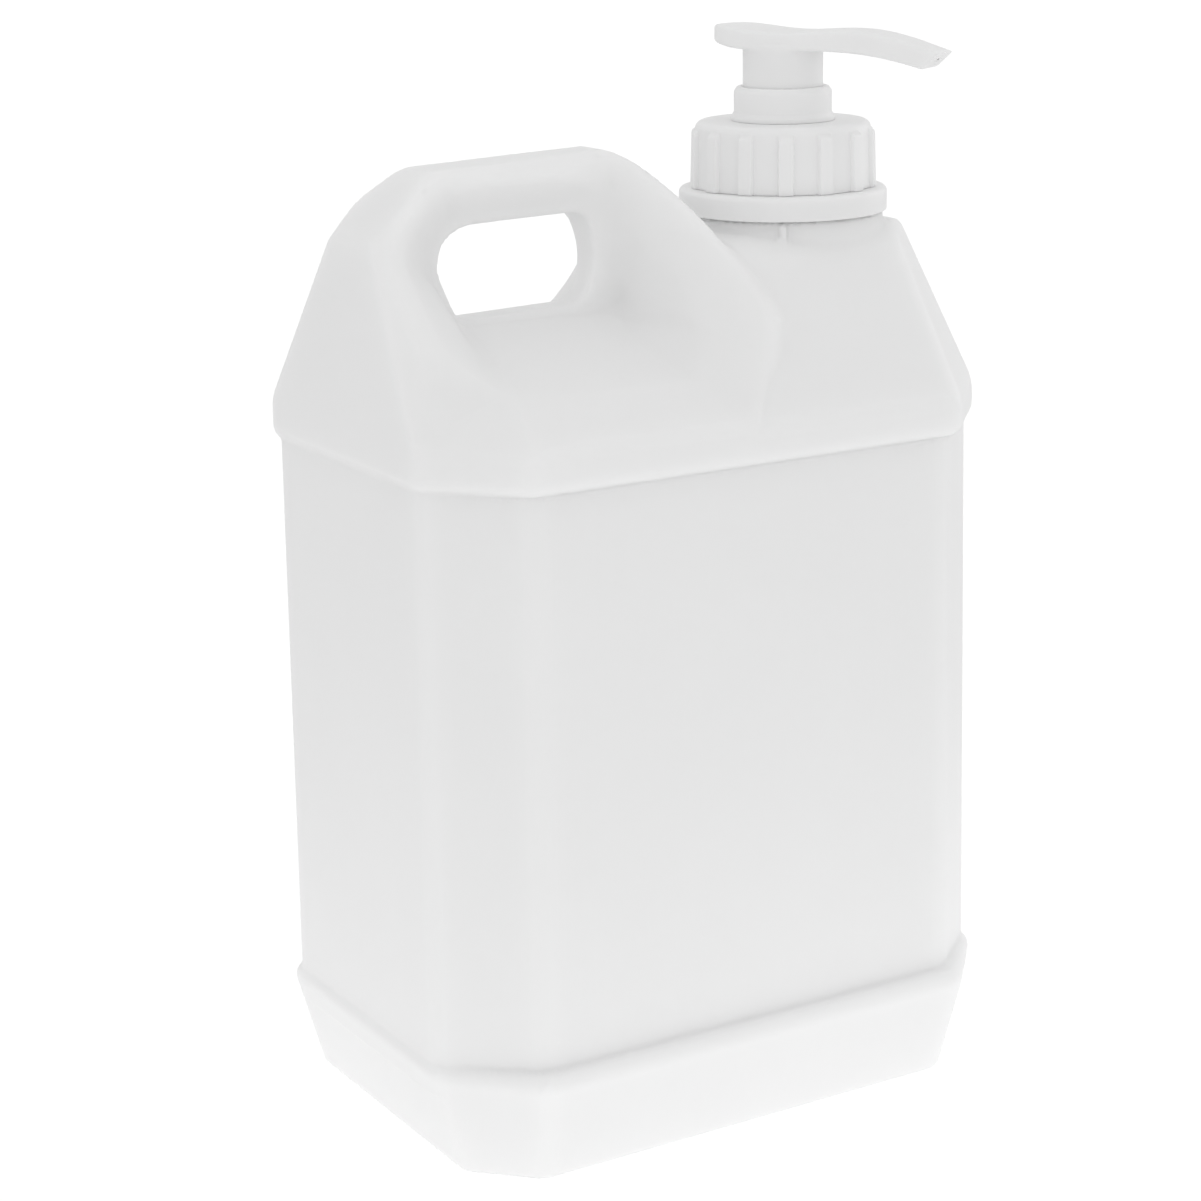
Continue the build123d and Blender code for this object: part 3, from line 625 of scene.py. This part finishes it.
def noise(nodes, links, place, scale, detail=3, stretch=(1, 1, 1)):
    """Noise between 0 and 1; a stretch over 1 packs it closer along that axis."""
    mapping, texture = nodes.new("ShaderNodeMapping"), nodes.new("ShaderNodeTexNoise")
    mapping.inputs["Scale"].default_value = stretch
    texture.inputs["Scale"].default_value = scale
    texture.inputs["Detail"].default_value = detail
    links.new(place, mapping.inputs["Vector"])
    links.new(mapping.outputs["Vector"], texture.inputs["Vector"])
    return texture.outputs["Fac"]


def between(nodes, links, source, socket, low, high):
    """Spreads a 0 to 1 source over a range of numbers."""
    spread_out = nodes.new("ShaderNodeMapRange")
    spread_out.inputs["From Min"].default_value, spread_out.inputs["From Max"].default_value = 0.3, 0.7
    spread_out.inputs["To Min"].default_value, spread_out.inputs["To Max"].default_value = low, high
    links.new(source, spread_out.inputs["Value"])
    links.new(spread_out.outputs["Result"], socket)


def tint(nodes, links, source, shader, dark, light):
    """Spreads a 0 to 1 source over the base colour, from dark to light."""
    ramp = nodes.new("ShaderNodeValToRGB")
    ramp.color_ramp.elements[0].position, ramp.color_ramp.elements[1].position = 0.3, 0.7
    ramp.color_ramp.elements[0].color, ramp.color_ramp.elements[1].color = (*dark, 1), (*light, 1)
    links.new(source, ramp.inputs["Fac"])
    links.new(ramp.outputs["Color"], shader.inputs["Base Color"])


def relief(nodes, links, shader, *layers):
    """Stacks bump layers: (source, strength, height in metres)."""
    normal = None
    for source, strength, height in layers:
        bump = nodes.new("ShaderNodeBump")
        bump.inputs["Strength"].default_value = strength
        bump.inputs["Distance"].default_value = height
        links.new(source, bump.inputs["Height"])
        if normal:
            links.new(normal, bump.inputs["Normal"])
        normal = bump.outputs["Normal"]
    links.new(normal, shader.inputs["Normal"])


def milky(shader, weight, depth):
    """Lets light wander through the plastic to this depth."""
    shader.inputs["Subsurface Weight"].default_value = weight
    shader.inputs["Subsurface Radius"].default_value = (1, 1, 1)
    shader.inputs["Subsurface Scale"].default_value = depth


def blown_hdpe():
    """Natural blow-moulded plastic: cloudy wall, orange peel and faint upright draw marks."""
    material, nodes, links, shader, place = new_material("blown_hdpe", 0.42)
    milky(shader, 1.0, 0.004)
    clouds = noise(nodes, links, place, 14, 2)
    tint(nodes, links, clouds, shader, (0.895, 0.895, 0.895), (0.91, 0.91, 0.91))
    between(nodes, links, noise(nodes, links, place, 90), shader.inputs["Roughness"], 0.38, 0.47)
    draw_marks = noise(nodes, links, place, 30, 3, (12, 12, 0.6))
    orange_peel = noise(nodes, links, place, 700, 3)
    relief(nodes, links, shader, (draw_marks, 0.12, 0.0003), (orange_peel, 0.12, 0.0001))
    return material


def moulded_pp():
    """White injection-moulded plastic with a fine spark-eroded grain."""
    material, nodes, links, shader, place = new_material("moulded_pp", 0.36)
    milky(shader, 0.4, 0.002)
    tint(nodes, links, noise(nodes, links, place, 60, 2), shader, (0.905, 0.905, 0.905), (0.92, 0.92, 0.92))
    between(nodes, links, noise(nodes, links, place, 400), shader.inputs["Roughness"], 0.32, 0.41)
    grain = noise(nodes, links, place, 2600, 2)
    relief(nodes, links, shader, (grain, 0.1, 0.00005))
    return material


def clear_polyethylene():
    """Translucent extruded tube with fine lines along it."""
    material, nodes, links, shader, place = new_material("clear_polyethylene", 0.25)
    shader.inputs["Transmission Weight"].default_value = 0.6
    shader.inputs["IOR"].default_value = 1.5
    lines = noise(nodes, links, place, 40, 2, (40, 40, 0.3))
    tint(nodes, links, lines, shader, (0.88, 0.9, 0.9), (0.95, 0.96, 0.96))
    between(nodes, links, lines, shader.inputs["Roughness"], 0.2, 0.32)
    relief(nodes, links, shader, (lines, 0.15, 0.0001))
    return material


def soft_seal():
    """Matte off-white elastomer with a slight bloom."""
    material, nodes, links, shader, place = new_material("soft_seal", 0.62)
    milky(shader, 0.3, 0.001)
    tint(nodes, links, noise(nodes, links, place, 250, 3), shader, (0.76, 0.76, 0.745), (0.84, 0.84, 0.825))
    between(nodes, links, noise(nodes, links, place, 900), shader.inputs["Roughness"], 0.55, 0.7)
    relief(nodes, links, shader, (noise(nodes, links, place, 1800, 2), 0.2, 0.00005))
    return material


def bright_steel(name, roughness, line_stretch):
    """Stainless steel with fine drawing or polishing lines."""
    material, nodes, links, shader, place = new_material(name, roughness)
    shader.inputs["Metallic"].default_value = 1.0
    lines = noise(nodes, links, place, 600, 3, line_stretch)
    tint(nodes, links, lines, shader, (0.58, 0.58, 0.59), (0.7, 0.7, 0.71))
    between(nodes, links, lines, shader.inputs["Roughness"], 0.7 * roughness, 1.4 * roughness)
    relief(nodes, links, shader, (lines, 0.1, 0.00002))
    return material


def wear(piece, material):
    """Gives a piece its material."""
    piece.data.materials.clear()
    piece.data.materials.append(material)


hdpe, pp, clear_pe, seal = blown_hdpe(), moulded_pp(), clear_polyethylene(), soft_seal()
wire, ball_steel = bright_steel("drawn_wire", 0.25, (1, 1, 6)), bright_steel("polished_ball", 0.08, (1, 1, 1))

PIECES = [
    (make_can, "bottle", "bottle", hdpe, "natural_hdpe"),
    (make_neck, "bottle", "bottle", hdpe, "natural_hdpe"),
    (make_band, "tamper_band", "bottle", pp, "white_pp"),
    (make_cap, "screw_cap", "cap", pp, "white_pp"),
    (make_collar, "lock_collar", "pump_body", pp, "white_pp"),
    (make_head, "actuator_head", "plunger", pp, "white_pp"),
]
for make, node, body, material, slot in PIECES:
    piece = make()
    wear(piece, material)
    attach(piece, body)
    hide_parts(node)

INNER_MATERIALS = {"dip_tube": clear_pe, "neck_gasket": seal, "piston": seal, "return_spring": wire,
                   "inlet_ball": ball_steel, "outlet_ball": ball_steel}
replaced = {node for make, node, body, material, slot in PIECES}
for name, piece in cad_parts.items():
    if name not in replaced:
        wear(piece, INNER_MATERIALS.get(name, pp))

# ---------------------------------------------------------------------------
# Floor and light
# ---------------------------------------------------------------------------
FLOOR_HALF = 20000
FLOOR_ALBEDO = 0.9
FLOOR_GLOW_NEAR, FLOOR_GLOW_FAR = 0.33, 0.0
GLOW_FULL, GLOW_GONE = 0.05, 0.45
SKY = 0.785
BACKDROP = 1.05
AIM = (0, 0, 0.12)
# Name, place and size in metres, and power in watts
LIGHTS = [("top", (0, 0, 2.0), 2.0, 1.2), ("front", (0, -2.0, 0.35), 1.4, 0.85),
          ("front_left", (-1.4, -1.4, 0.5), 1.4, 1.5), ("right", (2.0, 0, 0.5), 1.4, 3.2)]


def seen_or_lit(nodes, links, seen, lit, output):
    """The camera sees one shader, and everything else is lit by the other."""
    path, choice = nodes.new("ShaderNodeLightPath"), nodes.new("ShaderNodeMixShader")
    links.new(path.outputs["Is Camera Ray"], choice.inputs[0])
    links.new(lit, choice.inputs[1])
    links.new(seen, choice.inputs[2])
    links.new(choice.outputs["Shader"], output)


def add_floor():
    """Pale floor that reads as plain white and glows a little more close to the bottle."""
    corners = [(-FLOOR_HALF, -FLOOR_HALF, 0), (FLOOR_HALF, -FLOOR_HALF, 0), (FLOOR_HALF, FLOOR_HALF, 0),
               (-FLOOR_HALF, FLOOR_HALF, 0)]
    floor = mesh_object("floor", corners, [(0, 1, 2, 3)])
    material = bpy.data.materials.new("floor")
    material.use_nodes = True
    nodes, links = material.node_tree.nodes, material.node_tree.links
    shader = nodes["Principled BSDF"]
    shader.inputs["Base Color"].default_value = (FLOOR_ALBEDO, FLOOR_ALBEDO, FLOOR_ALBEDO, 1)
    shader.inputs["Roughness"].default_value = 0.9
    shader.inputs["Specular IOR Level"].default_value = 0.2
    shader.inputs["Emission Color"].default_value = (1, 1, 1, 1)
    place, reach, fade = (nodes.new(kind) for kind in ("ShaderNodeTexCoord", "ShaderNodeVectorMath",
                                                       "ShaderNodeMapRange"))
    reach.operation = "LENGTH"
    fade.interpolation_type = "SMOOTHSTEP"
    fade.inputs["From Min"].default_value, fade.inputs["From Max"].default_value = GLOW_FULL, GLOW_GONE
    fade.inputs["To Min"].default_value, fade.inputs["To Max"].default_value = FLOOR_GLOW_NEAR, FLOOR_GLOW_FAR
    links.new(place.outputs["Object"], reach.inputs[0])
    links.new(reach.outputs["Value"], fade.inputs["Value"])
    links.new(fade.outputs["Result"], shader.inputs["Emission Strength"])
    white = nodes.new("ShaderNodeEmission")
    white.inputs["Strength"].default_value = BACKDROP
    seen_or_lit(nodes, links, white.outputs["Emission"], shader.outputs["BSDF"],
                nodes["Material Output"].inputs["Surface"])
    floor.data.materials.append(material)


def add_area(name, place, size, power):
    """Square light aimed at the bottle."""
    light_data = bpy.data.lights.new(name, "AREA")
    light_data.shape = "SQUARE"
    light_data.size = size
    light_data.energy = power
    light = bpy.data.objects.new(name, light_data)
    light.location = place
    light.rotation_euler = (Vector(AIM) - Vector(place)).to_track_quat("-Z", "Y").to_euler()
    bpy.context.scene.collection.objects.link(light)


def add_world():
    """Even sky light, seen as plain white."""
    world = bpy.data.worlds.new("world")
    bpy.context.scene.world = world
    world.use_nodes = True
    nodes, links = world.node_tree.nodes, world.node_tree.links
    sky, white = nodes["Background"], nodes.new("ShaderNodeBackground")
    sky.inputs["Color"].default_value = white.inputs["Color"].default_value = (1, 1, 1, 1)
    sky.inputs["Strength"].default_value = SKY
    white.inputs["Strength"].default_value = BACKDROP
    seen_or_lit(nodes, links, white.outputs["Background"], sky.outputs["Background"],
                nodes["World Output"].inputs["Surface"])


bpy.context.scene.view_settings.view_transform = "Standard"
add_floor()
add_world()
for light in LIGHTS:
    add_area(*light)
